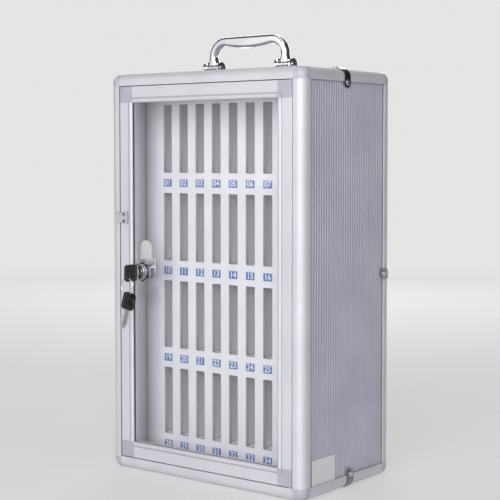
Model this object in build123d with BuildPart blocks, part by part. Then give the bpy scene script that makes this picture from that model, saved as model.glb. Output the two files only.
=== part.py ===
"""Cell phone locker box: an aluminium profile case with a glazed door, a cam lock and a carry handle.

Millimetres. +X runs along the front to the right, +Y from the front to the rear, +Z up. The origin is on
the surface that the box stands on, under the middle of the case.
"""

import os

from build123d import *

os.makedirs("parts", exist_ok=True)

# ---- Case, its edge profiles and panels ----
case_width = 300.0
case_depth = 186.0
case_height = 500.0
profile_leg = 15.0  # width of an edge profile on each face of the case
profile_wall = 1.8
edge_radius = 10.0  # outer rounding of the profiles and corner caps
jamb_wall = 1.5  # the profile's inner wall beside the door
jamb_depth = 11.0  # left and right: the cam hooks behind it
jamb_depth_stop = 16.0  # top and bottom: it also carries the door stops
seat_clearance = 0.1
cut_past = 0.1  # how far a cut runs past the face that it opens
panel_sheet = 1.0
rib_height = 0.7
rib_pitch = 5.0
rib_crest = 1.6  # flat width on top of a rib
rib_foot = 3.2  # width of a rib where it meets the sheet
panel_tuck = 5.0  # how far a panel reaches under each profile leg
liner_thickness = 1.4

# ---- Slot face, pockets and labels ----
columns = 9
rows = 4
slot_width = 14.0
slot_height = 87.0
slot_corner = 1.5
lowest_slot = 37.1  # height of the lowest row's slot bottom
slot_top_margin = 37.2  # top of the case to the top row's slots
slot_side_margin = 35.6  # side of the case to the outer slots
recess_depth = 62.0  # front of the case to the slot face
face_thickness = 5.0
divider_thickness = 2.0
shelf_thickness = 3.0
lap_clearance = 0.1
label_width = 12.8
label_height = 9.3
label_thickness = 0.3
label_drop = 13.0  # slot bottom to label centre

# ---- Door ----
door_gap = 1.0  # door to the case above and below
door_side_gap = 1.5  # door to the case at its two sides
door_thickness = 9.5
door_set_back = 0.5  # case front to the flat of the door frame
door_rail = 20.2  # face width of a stile or rail
bead_width = 5.8
bead_rise = 1.1
bead_groove = 0.8  # width and depth of the groove beside the bead
bead_shoulder = 0.6  # the bead's curve starts this far below the flat
frame_hollow_wall = 1.8
frame_hollow_width = 8.4
glazing_bite = 8.0  # depth of the glazing groove into the frame
glazing_clearance = 0.6
acrylic_thickness = 3.0
acrylic_set_back = 1.5  # flat of the door frame to the acrylic
gasket_thickness = 0.9
seal_width = 0.4  # seal that shows beside the frame, on the front of the acrylic
seal_height = 0.5
glazing_play = 0.1
pivot_inset = 3.0  # pivot to the door's edge, and to its flat front
pivot_diameter = 2.5
pivot_running = 0.05  # radial clearance where the pin turns
pivot_hold = 12.0  # length of pin in the door's corner piece
pivot_reach = 3.0  # length of pin past the jamb's face
hinge_edge_radius = 1.2
washer_diameter = 5.6
washer_thickness = 0.8
stop_height = 3.0
stop_depth = 5.0
stop_gap = 0.3
stop_inset = 20.0  # the stops end this far from the door's two ends

# ---- Lock, in the acrylic near the left stile ----
lock_from_edge = 33.0  # door's edge to the lock's axis
lock_rise = 2.4  # lock's axis above the middle of the case
bezel_diameter = 21.0
bezel_thickness = 6.0
bezel_round = 1.6
barrel_diameter = 18.0
barrel_length = 17.0  # from the acrylic's front
barrel_flats = 16.0  # across its two flats
flats_from_nut = 1.0  # nut to where the flats start
hole_clearance = 0.2
nut_across_flats = 22.0
nut_thickness = 4.0
nut_chamfer = 0.8
hex_sides = 6
plug_diameter = 11.0
plug_collar = 14.0
plug_proud = 0.6
collar_seat = 0.6  # depth of the collar in the bezel
plug_running = 0.06
tail_square = 7.0
cam_thickness = 1.8
cam_width = 18.0
cam_crank = 7.0  # how far the tip steps towards the door
cam_crank_at = 15.0  # lock axis to the step
cam_reach = 39.0
cam_fit = 0.05
screw_head = 9.0
screw_head_height = 3.2
screw_diameter = 4.0
screw_length = 3.2
screw_end_gap = 0.4

# ---- Keys and their ring ----
key_blade_thickness = 2.0
key_blade_width = 6.4
key_blade_length = 24.0
key_tip = 6.0  # length that tapers to the blade's end
key_blade_play = 0.2
key_bow_length = 21.5
key_bow_width = 21.0
key_bow_thickness = 3.6
key_bow_corner = 5.0
key_bow_bevel = 0.6
key_bow_rim = 3.0  # border round the sunk field of each face
key_bow_sink = 0.5
key_field_start = 1.6  # the sunk field ends this far short of the ring's hole
key_bow_gap = 1.8  # bow to the plug's face
key_tang = 9.0  # blade inside the bow
key_hole_diameter = 4.2
key_hole_from_end = 4.0
key_hole_drop = 5.0  # the ring's hole lies this far below the key's centre line
key_cuts = (1.1, 0.5, 1.6, 0.9, 1.3)
key_cut_pitch = 3.4
key_crest = 0.2  # the crests between the cuts lie this far below the edge
ring_diameter = 19.5
ring_wire = 1.2
ring_seat = 0.3
spare_lean = 17.0  # the spare key hangs this much out of plumb

# ---- Pull clip on the door's left stile ----
clip_sheet = 1.2
clip_round = 0.7
pull_length = 23.0
pull_width = 12.0
pull_ear_width = 15.5
pull_ear_length = 7.0
pull_rise = 69.8  # above the middle of the case
pull_overhang = 10.2  # past the door's edge, over the profile
pull_clearance = 0.5
pull_rivet_spread = 8.6  # between the two rivets
pull_rivet_head = 4.2
pull_rivet_height = 1.0
pull_rivet_round = 0.7
rivet_head = 7.0
rivet_head_height = 1.3
rivet_round = 0.9

# ---- Edge clips over the profiles ----
edge_clip_width = 12.2
top_clip_forward = 5.0  # the top clips sit this far in front of the middle
bottom_clip_back = 3.7  # and the bottom clips this far behind it
rear_clip_rise = 2.2  # rear clips above the middle of the case
edge_clip_tip = 0.1  # flat left at the end of each rounded leg
edge_clip_clearance = 0.1
bottom_clip_rise = 0.2  # the bottom clips end this far above the ground
clip_rivet_shank = 2.4
clip_rivet_gap = 0.25  # edge profile to the rivet's shank

# ---- Carry handle ----
handle_span = 122.0  # outside of the legs
handle_rise = 46.8  # top of the case to the top of the grip
pivot_rise = 9.0  # top of the case to the pins' axis
handle_leg = 9.4
handle_thick = 10.4
handle_bend = 24.0
handle_neck = 6.6  # height of the grip in line with the inside of its legs
handle_belly = 14.4  # height of the grip in the middle
handle_edge = 3.6
handle_flare = 2.0  # a leg widens this much on each side at its knuckle
flare_start = 12.0  # pins' axis to where the flares start and end
flare_end = 6.0
knuckle_diameter = 12.0
knuckle_length = 13.4
ear_thickness = 2.4
ear_boss = 2.9  # length of the boss on the inner side of each ear
ear_boss_diameter = 9.0
ear_radius = 7.5
ear_clearance = 0.4
foot_plate = 1.5
foot_depth = 16.0
handle_pin_diameter = 4.0
handle_pin_head = 7.0
handle_pin_head_height = 1.2
foot_rivet = 4.4
foot_rivet_height = 1.0
foot_rivet_offset = 5.0

# ---- Places that follow from the sizes above ----
front = -case_depth / 2
rear = case_depth / 2
half_width = case_width / 2
panel_face = profile_wall + seat_clearance  # outer face of the case to a panel's outer face
panel_back = panel_face + panel_sheet + rib_height
inner_face = panel_back + liner_thickness  # outer face of the case to the inside of the case
panel_edge = profile_leg - panel_tuck
mid_z = case_height / 2
opening_x = half_width - profile_leg
opening_low = profile_leg
opening_high = case_height - profile_leg

door_x = opening_x - door_side_gap
door_low = opening_low + door_gap
door_high = opening_high - door_gap
door_front = front + door_set_back
door_rear = door_front + door_thickness
pivot_x = door_x - pivot_inset
pivot_y = door_front + pivot_inset
acrylic_front = door_front + acrylic_set_back
acrylic_rear = acrylic_front + acrylic_thickness
glazing_rear = acrylic_rear + gasket_thickness + 2 * glazing_play
groove_edge = door_rail - glazing_bite

column_pitch = (case_width - 2 * slot_side_margin - slot_width) / (columns - 1)
row_pitch = (case_height - slot_top_margin - lowest_slot - slot_height) / (rows - 1)
face_front = front + recess_depth
face_rear = face_front + face_thickness
inner_rear = rear - inner_face
inner_x = half_width - inner_face
lap_middle = (face_rear + inner_rear) / 2

lock_x = -door_x + lock_from_edge
lock_z = mid_z + lock_rise
bezel_front = acrylic_front - bezel_thickness
plug_front = bezel_front - plug_proud
barrel_rear = acrylic_front + barrel_length
base_front = barrel_rear + seat_clearance
cam_rear = base_front + cam_thickness
tip_front = base_front - cam_crank
key_shoulder = plug_front - key_bow_gap
key_bow_front = key_shoulder - key_bow_length
key_hole_y = key_bow_front + key_hole_from_end
key_hole_z = lock_z - key_hole_drop
hole_slack = (key_hole_diameter - ring_wire) / 2 - ring_seat
ring_top = key_hole_z - hole_slack
ring_centre = ring_top - ring_diameter / 2
ring_bottom = ring_top - ring_diameter
spare_hole_z = ring_bottom - hole_slack

pull_height = mid_z + pull_rise
handle_top = case_height + handle_rise
handle_pivot = case_height + pivot_rise
ear_reach = ear_thickness + ear_boss + ear_clearance  # outside of an ear to the knuckle
foot_inner = handle_span / 2 - handle_leg / 2 - knuckle_length / 2 - ear_reach
foot_outer = foot_inner + 2 * ear_reach + knuckle_length
foot_middle = (foot_inner + foot_outer) / 2
top_surface = case_height - panel_face
clip_rivet_in = profile_leg + clip_rivet_gap + clip_rivet_shank / 2  # edge of the case to a rivet
edge_clip_leg = clip_rivet_in + edge_clip_width / 2


def slot_centres():
    """Centre (x, z) of every slot, from the top left in reading order."""
    for row in range(rows):
        z = lowest_slot + (rows - 1 - row) * row_pitch + slot_height / 2
        for column in range(columns):
            yield (column - (columns - 1) / 2) * column_pitch, z


def block(x, y, z, mode=Mode.ADD):
    """A box between two planes on each axis, in the part that is being built."""
    with Locations(((x[0] + x[1]) / 2, (y[0] + y[1]) / 2, (z[0] + z[1]) / 2)):
        Box(x[1] - x[0], y[1] - y[0], z[1] - z[0], mode=mode)


def disc(centre, axis, radius, length, mode=Mode.ADD):
    """A cylinder that starts at centre and runs length along axis, in the part that is being built."""
    with Locations(Plane(origin=centre, z_dir=axis)):
        Cylinder(radius, length, align=(Align.CENTER, Align.CENTER, Align.MIN), mode=mode)


def keep(builder, name):
    """Label a finished piece and write its STEP file."""
    builder.part.label = name
    export_step(builder.part, f"parts/{name}.step")


# ---- Edge profiles: rounded angles, and beside the door an inner wall as its jamb ----
def edge_profile(name, corner, along_u, along_v, length, jamb=0.0, pin_at=None):
    """An angle along one edge, centred on corner; along_u and along_v point inward on its two faces."""
    u, v = Vector(along_u), Vector(along_v)
    with BuildPart() as profile:
        with BuildSketch(Plane(origin=corner, x_dir=u, z_dir=u.cross(v))) as section:
            with BuildLine():
                outline = [(0, 0), (profile_leg, 0)]
                if jamb:
                    outline += [(profile_leg, jamb), (profile_leg - jamb_wall, jamb)]
                    outline += [(profile_leg - jamb_wall, profile_wall)]
                else:
                    outline += [(profile_leg, profile_wall)]
                outline += [(profile_wall, profile_wall), (profile_wall, profile_leg), (0, profile_leg)]
                Polyline(*outline, close=True)
            make_face()
            fillet(section.vertices().sort_by_distance((0, 0, 0))[0], edge_radius)
            inner = section.vertices().sort_by_distance((profile_wall, profile_wall, 0))[0]
            fillet(inner, edge_radius - profile_wall)
        extrude(amount=length / 2, both=True)
        if pin_at:
            centre, axis = pin_at
            hole_length = jamb_wall + 2 * cut_past
            disc(centre, axis, pivot_diameter / 2 + pivot_running, hole_length, Mode.SUBTRACT)
    keep(profile, name)


x_length = case_width - 2 * profile_leg
y_length = case_depth - 2 * profile_leg
z_length = case_height - 2 * profile_leg
UP, DOWN, RIGHT, LEFT, BACK, FORTH = (0, 0, 1), (0, 0, -1), (1, 0, 0), (-1, 0, 0), (0, 1, 0), (0, -1, 0)

top_pin = ((pivot_x, pivot_y, opening_high - cut_past), UP)
low_pin = ((pivot_x, pivot_y, opening_low + cut_past), DOWN)
edge_profile("front_top_profile", (0, front, case_height), DOWN, BACK, x_length, jamb_depth_stop, top_pin)
edge_profile("front_bottom_profile", (0, front, 0), UP, BACK, x_length, jamb_depth_stop, low_pin)
edge_profile("front_left_profile", (-half_width, front, mid_z), RIGHT, BACK, z_length, jamb_depth)
edge_profile("front_right_profile", (half_width, front, mid_z), LEFT, BACK, z_length, jamb_depth)
edge_profile("rear_top_profile", (0, rear, case_height), DOWN, FORTH, x_length)
edge_profile("rear_bottom_profile", (0, rear, 0), UP, FORTH, x_length)
edge_profile("rear_left_profile", (-half_width, rear, mid_z), RIGHT, FORTH, z_length)
edge_profile("rear_right_profile", (half_width, rear, mid_z), LEFT, FORTH, z_length)
edge_profile("top_left_profile", (-half_width, 0, case_height), RIGHT, DOWN, y_length)
edge_profile("top_right_profile", (half_width, 0, case_height), LEFT, DOWN, y_length)
edge_profile("bottom_left_profile", (-half_width, 0, 0), RIGHT, UP, y_length)
edge_profile("bottom_right_profile", (half_width, 0, 0), LEFT, UP, y_length)


# ---- Corner caps: moulded shells that cover where three profiles meet ----
def rounded_cube(corner, inward, size, radius):
    """A cube that grows inward from corner, with the three edges that meet there rounded."""
    cube = Pos(*(corner + inward * (size / 2))) * Box(size, size, size)
    return fillet(cube.edges().sort_by_distance(corner)[:3], radius)


def cap_shell(x_side, y_side, z_side):
    """The cap at the corner of the case that the three signs name."""
    corner = Vector(x_side * half_width, y_side * rear, case_height / 2 * (1 + z_side))
    inward = Vector(-x_side, -y_side, -z_side)
    outside = rounded_cube(corner, inward, profile_leg, edge_radius)
    hollow_corner = corner + inward * profile_wall
    return outside - rounded_cube(hollow_corner, inward, profile_leg, edge_radius - profile_wall)


for name, y_side in (("front_corner_caps", -1), ("rear_corner_caps", 1)):
    shells = [cap_shell(x_side, y_side, z_side) for x_side in (-1, 1) for z_side in (-1, 1)]
    with BuildPart() as caps:
        for shell in shells:
            add(shell)
    keep(caps, name)


# ---- Panels: ribbed sheet on the sides and the top, plain sheet behind and below ----
def ribbed_outline(width):
    """Section of a ribbed sheet, centred on 0, with ribs that stand up from the sheet."""
    count = int((width / 2 - rib_foot / 2) // rib_pitch)
    crest = panel_sheet + rib_height
    points = [(-width / 2, 0), (-width / 2, panel_sheet)]
    for k in range(-count, count + 1):
        middle = k * rib_pitch
        points += [(middle - rib_foot / 2, panel_sheet), (middle - rib_crest / 2, crest)]
        points += [(middle + rib_crest / 2, crest), (middle + rib_foot / 2, panel_sheet)]
    return points + [(width / 2, panel_sheet), (width / 2, 0)]


def ribbed_panel(name, plane, length):
    """A ribbed sheet, its ribs along the plane's normal and standing up along the plane's +Y."""
    with BuildPart() as panel:
        with BuildSketch(plane):
            with BuildLine():
                Polyline(*ribbed_outline(case_depth - 2 * panel_edge), close=True)
            make_face()
        extrude(amount=length / 2, both=True)
    keep(panel, name)


skin_back = half_width - panel_back
side_height = case_height - 2 * panel_edge
ribbed_panel("left_panel", Plane((-skin_back, 0, mid_z), x_dir=BACK, z_dir=UP), side_height)
ribbed_panel("right_panel", Plane((skin_back, 0, mid_z), x_dir=BACK, z_dir=DOWN), side_height)
top_plane = Plane((0, 0, case_height - panel_back), x_dir=BACK, z_dir=RIGHT)
ribbed_panel("top_panel", top_plane, case_width - 2 * panel_edge)

panel_x = half_width - panel_edge
panel_z = (panel_edge, case_height - panel_edge)
with BuildPart() as back_panel:
    block((-panel_x, panel_x), (rear - panel_back, rear - panel_face), panel_z)
keep(back_panel, "back_panel")

# The bottom panel stands on the same surface as the profiles, and its rebated edge runs above their legs.
rebate = profile_leg + seat_clearance
with BuildPart() as bottom_panel:
    block((-half_width + rebate, half_width - rebate), (front + rebate, rear - rebate), (0, panel_face))
    block((-panel_x, panel_x), (front + panel_edge, rear - panel_edge), (panel_face, panel_back))
keep(bottom_panel, "bottom_panel")

# ---- Liners: white boards inside the panels ----
liner_front = front + jamb_depth_stop + seat_clearance
liner_rear = rear - panel_edge
liner_z = (inner_face, case_height - inner_face)
for name, side in (("left_liner", -1), ("right_liner", 1)):
    x = sorted((side * inner_x, side * (half_width - panel_back)))
    with BuildPart() as liner:
        block(x, (liner_front, liner_rear), liner_z)
    keep(liner, name)
for name, z in (
    ("floor_liner", (panel_back, inner_face)),
    ("ceiling_liner", (case_height - inner_face, case_height - panel_back)),
):
    with BuildPart() as liner:
        block((-inner_x, inner_x), (liner_front, liner_rear), z)
    keep(liner, name)
with BuildPart() as back_liner:
    block((-panel_x, panel_x), (inner_rear, rear - panel_back), panel_z)
keep(back_liner, "back_liner")

# ---- Slot face: one white sheet with a slot for each phone ----
face_x = inner_x - seat_clearance
face_low = inner_face + seat_clearance
face_high = case_height - inner_face - seat_clearance
with BuildPart() as slot_face:
    block((-face_x, face_x), (face_front, face_rear), (face_low, face_high))
    with BuildSketch(Plane((0, face_front, 0), x_dir=RIGHT, z_dir=FORTH)):
        with Locations(*slot_centres()):
            RectangleRounded(slot_width, slot_height, slot_corner)
    extrude(amount=-face_thickness, mode=Mode.SUBTRACT)
keep(slot_face, "slot_face")

# ---- Pocket dividers and shelves, lapped into each other behind the slot face ----
shelf_tops = [lowest_slot + row * row_pitch for row in range(rows)]
divider_places = [(k - columns / 2) * column_pitch for k in range(columns + 1)]
with BuildPart() as dividers:
    for x in divider_places:
        edges = (x - divider_thickness / 2, x + divider_thickness / 2)
        block(edges, (face_rear, inner_rear), (face_low, face_high))
    for top in shelf_tops:
        notch = (top - shelf_thickness - lap_clearance, top + lap_clearance)
        block((-face_x, face_x), (face_rear, lap_middle), notch, Mode.SUBTRACT)
keep(dividers, "pocket_dividers")

with BuildPart() as shelves:
    for top in shelf_tops:
        block((-face_x, face_x), (face_rear, inner_rear), (top - shelf_thickness, top))
    for x in divider_places:
        reach = divider_thickness / 2 + lap_clearance
        block((x - reach, x + reach), (lap_middle, inner_rear), (face_low, face_high), Mode.SUBTRACT)
keep(shelves, "pocket_shelves")

with BuildPart() as labels:
    for x, z in slot_centres():
        middle = z - slot_height / 2 - label_drop
        block(
            (x - label_width / 2, x + label_width / 2),
            (face_front - label_thickness, face_front),
            (middle - label_height / 2, middle + label_height / 2),
        )
keep(labels, "number_labels")


# ---- Door frame: hollow stiles and rails with a bead, and moulded corner pieces between them ----
def door_bar(name, corner, across, length, hinge_side=False):
    """A stile or rail whose outer front edge runs through corner; across points to the glass."""
    u, v = Vector(across), Vector(BACK)
    bead_start = door_rail - bead_width
    bead_inner, bead_outer = (door_rail, bead_shoulder), (bead_start, bead_shoulder)
    with BuildPart() as bar:
        with BuildSketch(Plane(origin=corner, x_dir=u, z_dir=u.cross(v))) as section:
            with BuildLine():
                Polyline(
                    (bead_start, bead_groove),
                    (bead_start - bead_groove, bead_groove),
                    (bead_start - bead_groove, 0),
                    (0, 0),
                    (0, door_thickness),
                    (door_rail, door_thickness),
                    bead_inner,
                )
                ThreePointArc(bead_inner, (door_rail - bead_width / 2, -bead_rise), bead_outer)
                Line(bead_outer, (bead_start, bead_groove))
            make_face()
            if hinge_side:
                fillet(section.vertices().sort_by_distance((0, 0, 0))[0], hinge_edge_radius)
        extrude(amount=length / 2, both=True)
        with BuildSketch(Plane(origin=corner, x_dir=u, z_dir=u.cross(v))):
            middle = frame_hollow_wall + frame_hollow_width / 2
            with Locations((middle, door_thickness / 2)):
                Rectangle(frame_hollow_width, door_thickness - 2 * frame_hollow_wall)
        extrude(amount=length / 2, both=True, mode=Mode.SUBTRACT)
        block(glass_x, glass_y, glass_z, Mode.SUBTRACT)
    keep(bar, name)


glass_x = (-door_x + groove_edge, door_x - groove_edge)
glass_z = (door_low + groove_edge, door_high - groove_edge)
glass_y = (acrylic_front - glazing_play, glazing_rear)
stile_length = door_high - door_low - 2 * door_rail
rail_length = 2 * door_x - 2 * door_rail
door_bar("door_left_stile", (-door_x, door_front, mid_z), RIGHT, stile_length)
door_bar("door_right_stile", (door_x, door_front, mid_z), LEFT, stile_length, hinge_side=True)
door_bar("door_top_rail", (0, door_front, door_high), DOWN, rail_length)
door_bar("door_bottom_rail", (0, door_front, door_low), UP, rail_length)

for name, x_side, z_side in (
    ("door_corner_top_left", -1, 1),
    ("door_corner_top_right", 1, 1),
    ("door_corner_bottom_left", -1, -1),
    ("door_corner_bottom_right", 1, -1),
):
    x = sorted((x_side * door_x, x_side * (door_x - door_rail)))
    outer_z = door_high if z_side > 0 else door_low
    z = sorted((outer_z, outer_z - z_side * door_rail))
    with BuildPart() as corner_piece:
        block(x, (door_front, door_rear), z)
        # the bead's end pieces stand up from the flat where the two beads meet
        bead_x = sorted((x_side * (door_x - door_rail), x_side * (door_x - door_rail + bead_width)))
        bead_inner = outer_z - z_side * door_rail
        bead_z = sorted((bead_inner, bead_inner + z_side * bead_width))
        block(bead_x, (door_front - bead_groove, door_front), bead_z)
        if x_side > 0:
            upright = corner_piece.edges().filter_by(Axis.Z)
            fillet(upright.sort_by_distance((door_x, door_front, outer_z))[0], hinge_edge_radius)
            inward = (0, 0, -z_side)
            disc((pivot_x, pivot_y, outer_z), inward, pivot_diameter / 2, pivot_hold, Mode.SUBTRACT)
        block(glass_x, glass_y, glass_z, Mode.SUBTRACT)
    keep(corner_piece, name)

sheet_x = (glass_x[0] + glazing_clearance, glass_x[1] - glazing_clearance)
sheet_z = (glass_z[0] + glazing_clearance, glass_z[1] - glazing_clearance)
with BuildPart() as acrylic:
    block(sheet_x, (acrylic_front, acrylic_rear), sheet_z)
    hole_radius = barrel_diameter / 2 + hole_clearance
    disc((lock_x, acrylic_front, lock_z), BACK, hole_radius, acrylic_thickness, Mode.SUBTRACT)
keep(acrylic, "door_acrylic")

gasket_width = glazing_bite - glazing_clearance - glazing_play
gasket_y = (acrylic_rear + glazing_play, acrylic_rear + glazing_play + gasket_thickness)
with BuildPart() as gasket:
    block(sheet_x, gasket_y, sheet_z)
    gasket_inner_x = (sheet_x[0] + gasket_width, sheet_x[1] - gasket_width)
    gasket_inner_z = (sheet_z[0] + gasket_width, sheet_z[1] - gasket_width)
    block(gasket_inner_x, gasket_y, gasket_inner_z, Mode.SUBTRACT)
keep(gasket, "door_gasket")

seal_x, seal_z = door_x - door_rail, (door_low + door_rail, door_high - door_rail)
seal_y = (acrylic_front - seal_height, acrylic_front)
with BuildPart() as seal:
    block((-seal_x, seal_x), seal_y, seal_z)
    seal_inner_z = (seal_z[0] + seal_width, seal_z[1] - seal_width)
    block((-seal_x + seal_width, seal_x - seal_width), seal_y, seal_inner_z, Mode.SUBTRACT)
keep(seal, "glazing_seal")

with BuildPart() as pivot_pins:
    pin_length = pivot_hold + door_gap + pivot_reach
    disc((pivot_x, pivot_y, door_high - pivot_hold), UP, pivot_diameter / 2, pin_length)
    disc((pivot_x, pivot_y, door_low + pivot_hold), DOWN, pivot_diameter / 2, pin_length)
keep(pivot_pins, "pivot_pins")

with BuildPart() as washer:
    seat = (pivot_x, pivot_y, opening_low)
    disc(seat, UP, washer_diameter / 2, washer_thickness)
    disc(seat, UP, pivot_diameter / 2 + pivot_running, washer_thickness, Mode.SUBTRACT)
keep(washer, "hinge_washer")

stop_x = (-door_x + stop_inset, door_x - stop_inset)
stop_y = (door_rear + stop_gap, door_rear + stop_gap + stop_depth)
with BuildPart() as stops:
    block(stop_x, stop_y, (opening_high - stop_height, opening_high))
    block(stop_x, stop_y, (opening_low, opening_low + stop_height))
keep(stops, "door_stops")

# ---- Pull clip: a stamped strap riveted to the left stile, its lip over the gap as a finger grip ----
clip_rear = front - pull_clearance
clip_left = -door_x - pull_overhang
clip_right = clip_left + pull_length
rivet_x = -door_x + (door_rail - bead_width) / 2
strap_middle = (clip_left + pull_length / 2, clip_rear, pull_height)
pull_rivet_places = [
    (rivet_x, clip_rear, pull_height + side * pull_rivet_spread / 2) for side in (-1, 1)
]
with BuildPart() as pull_clip:
    with BuildSketch(Plane(strap_middle, x_dir=RIGHT, z_dir=FORTH)) as strap:
        SlotOverall(pull_length, pull_width)
        with Locations((pull_length / 2 - pull_ear_length / 2, 0)):
            RectangleRounded(pull_ear_length, pull_ear_width, pull_ear_length / 2 - clip_round)
    extrude(amount=clip_sheet)
    fillet(pull_clip.faces().sort_by(Axis.Y)[0].edges(), clip_round / 2)
    for place in pull_rivet_places:
        disc(place, BACK, pull_rivet_head / 2, door_front - clip_rear)
keep(pull_clip, "pull_clip")

with BuildPart() as pull_rivets:
    for place in pull_rivet_places:
        disc(Vector(place) + Vector(FORTH) * clip_sheet, FORTH, pull_rivet_head / 2, pull_rivet_height)
    fillet(pull_rivets.faces().group_by(Axis.Y)[0].edges(), pull_rivet_round)
keep(pull_rivets, "pull_clip_rivets")

# ---- Cam lock ----
plug_bore = plug_diameter / 2 + plug_running
with BuildPart() as housing:
    disc((lock_x, acrylic_front, lock_z), FORTH, bezel_diameter / 2, bezel_thickness)
    fillet(housing.faces().sort_by(Axis.Y)[0].edges(), bezel_round)
    disc((lock_x, acrylic_front, lock_z), BACK, barrel_diameter / 2, barrel_length)
    for side in (-1, 1):
        flat_x = sorted((lock_x + side * barrel_flats / 2, lock_x + side * barrel_diameter))
        flat_y = (acrylic_rear + nut_thickness + flats_from_nut, barrel_rear)
        block(flat_x, flat_y, (lock_z - barrel_diameter, lock_z + barrel_diameter), Mode.SUBTRACT)
    disc((lock_x, bezel_front, lock_z), BACK, plug_bore, barrel_rear - bezel_front, Mode.SUBTRACT)
    disc((lock_x, bezel_front, lock_z), BACK, plug_collar / 2 + plug_running, collar_seat, Mode.SUBTRACT)
keep(housing, "lock_housing")

with BuildPart() as nut:
    with BuildSketch(Plane((lock_x, acrylic_rear, lock_z), x_dir=RIGHT, z_dir=BACK)):
        # one flat faces the stile
        RegularPolygon(nut_across_flats / 2, hex_sides, major_radius=False, rotation=180 / hex_sides)
        Circle(barrel_diameter / 2, mode=Mode.SUBTRACT)
    extrude(amount=nut_thickness)
    chamfer(nut.faces().sort_by(Axis.Y)[-1].outer_wire().edges(), nut_chamfer)
keep(nut, "lock_nut")

keyway_half = (key_blade_thickness / 2 + key_blade_play, key_blade_width / 2 + key_blade_play)
keyway_x = (lock_x - keyway_half[0], lock_x + keyway_half[0])
keyway_z = (lock_z - keyway_half[1], lock_z + keyway_half[1])
blade_rear = key_shoulder + key_blade_length
with BuildPart() as plug:
    disc((lock_x, plug_front, lock_z), BACK, plug_collar / 2, plug_proud + collar_seat)
    disc((lock_x, plug_front, lock_z), BACK, plug_diameter / 2, barrel_rear + plug_running - plug_front)
    half_tail = tail_square / 2
    tail_z = (lock_z - half_tail, lock_z + half_tail)
    block((lock_x - half_tail, lock_x + half_tail), (barrel_rear, cam_rear), tail_z)
    block(keyway_x, (plug_front, blade_rear + key_blade_play), keyway_z, Mode.SUBTRACT)
    disc((lock_x, cam_rear, lock_z), FORTH, screw_diameter / 2, screw_length, Mode.SUBTRACT)
keep(plug, "lock_plug")

# The cam's base sits on the plug's tail; its tip steps forward and rises beside the door frame.
with BuildPart() as cam:
    half_cam = cam_width / 2
    cam_x = (lock_x - half_cam, lock_x + half_cam)
    step_z = lock_z + cam_crank_at
    block(cam_x, (base_front, cam_rear), (lock_z, step_z + cam_thickness))
    disc((lock_x, base_front, lock_z), BACK, half_cam, cam_thickness)
    block(cam_x, (tip_front, cam_rear), (step_z, step_z + cam_thickness))
    block(cam_x, (tip_front, tip_front + cam_thickness), (step_z, lock_z + cam_reach - half_cam))
    disc((lock_x, tip_front, lock_z + cam_reach - half_cam), BACK, half_cam, cam_thickness)
    hole = half_tail + cam_fit
    hole_x, hole_z = (lock_x - hole, lock_x + hole), (lock_z - hole, lock_z + hole)
    block(hole_x, (base_front, cam_rear), hole_z, Mode.SUBTRACT)
keep(cam, "lock_cam")

with BuildPart() as cam_screw:
    with BuildSketch(Plane((lock_x, cam_rear, lock_z), x_dir=RIGHT, z_dir=BACK)):
        RegularPolygon(screw_head / 2, hex_sides, major_radius=False)
    extrude(amount=screw_head_height)
    disc((lock_x, cam_rear, lock_z), FORTH, screw_diameter / 2, screw_length - screw_end_gap)
keep(cam_screw, "cam_screw")


# ---- Keys: a plastic bow moulded over a steel blade ----
def key(bow_name, blade_name, plane):
    """A key in plane: the bow's shoulder at its origin, the blade along +X, the cuts on its lower edge."""
    hole_x = key_hole_from_end - key_bow_length
    with BuildPart() as bow:
        with BuildSketch(plane):
            with Locations((-key_bow_length / 2, 0)):
                RectangleRounded(key_bow_length, key_bow_width, key_bow_corner)
        extrude(amount=key_bow_thickness / 2, both=True)
        rims = [edge for face in bow.faces().filter_by(plane) for edge in face.outer_wire().edges()]
        chamfer(rims, key_bow_bevel)
        field_end = hole_x + key_hole_diameter / 2 + key_field_start
        field_length = -key_bow_rim - field_end
        for side in (1, -1):
            with BuildSketch(plane.offset(side * (key_bow_thickness / 2 - key_bow_sink))):
                field_width = key_bow_width - 2 * key_bow_rim
                with Locations(((field_end - key_bow_rim) / 2, 0)):
                    RectangleRounded(field_length, field_width, key_bow_corner - key_bow_rim)
            extrude(amount=side * key_bow_sink, mode=Mode.SUBTRACT)
        with BuildSketch(plane):
            with Locations((hole_x, -key_hole_drop)):
                Circle(key_hole_diameter / 2)
        extrude(amount=key_bow_thickness, both=True, mode=Mode.SUBTRACT)
        with BuildSketch(plane):
            with Locations((-key_tang / 2, 0)):
                Rectangle(key_tang, key_blade_width)
        extrude(amount=key_blade_thickness / 2, both=True, mode=Mode.SUBTRACT)
    keep(bow, bow_name)

    half = key_blade_width / 2
    with BuildPart() as blade:
        with BuildSketch(plane):
            with BuildLine():
                points = [(-key_tang, -half), (-key_tang, half), (key_blade_length - key_tip, half)]
                points += [(key_blade_length, 0)]
                for k, cut in enumerate(reversed(key_cuts)):
                    bottom = key_blade_length - half - k * key_cut_pitch
                    points += [(bottom, -half + cut), (bottom - key_cut_pitch / 2, -half + key_crest)]
                points += [(points[-1][0] - key_cut_pitch / 2, -half)]
                Polyline(*points, close=True)
            make_face()
        extrude(amount=key_blade_thickness / 2, both=True)
    keep(blade, blade_name)


key("key_bow", "key_blade", Plane((lock_x, key_shoulder, lock_z), x_dir=BACK, z_dir=RIGHT))

with BuildPart() as ring:
    with BuildSketch(Plane((lock_x + ring_diameter / 2, key_hole_y, ring_centre), x_dir=RIGHT, z_dir=UP)):
        Circle(ring_wire / 2)
    revolve(axis=Axis((lock_x, key_hole_y, ring_centre), BACK))
keep(ring, "key_ring")

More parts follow.
